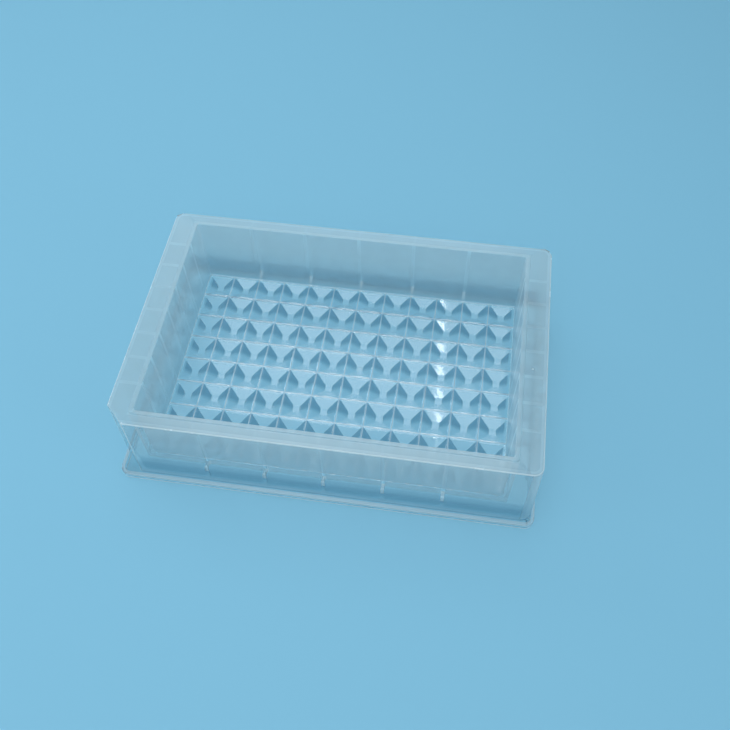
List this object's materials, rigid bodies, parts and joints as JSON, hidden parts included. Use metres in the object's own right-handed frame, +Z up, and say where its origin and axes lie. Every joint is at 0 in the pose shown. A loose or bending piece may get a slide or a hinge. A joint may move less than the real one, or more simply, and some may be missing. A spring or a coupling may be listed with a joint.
{
  "type": "single-well reservoir plate",
  "caption": "Deep rectangular reservoir on the microplate footprint, with a floor of inverted pyramids for multichannel pipetting, a ribbed double wall and one keyed corner.",
  "frame": {"origin": "centre of the base flange's footprint, on the bench", "axes": "+X along the length, +Z up out of the trough's opening; the keyed corner is at -X and -Y"},
  "size_m": [0.1278, 0.0854, 0.0319],
  "materials": {
    "polypropylene": "natural translucent polypropylene, satin walls and polished floor"
  },
  "bodies": {
    "root": {"plate": "polypropylene"}
  },
  "joints": []
}
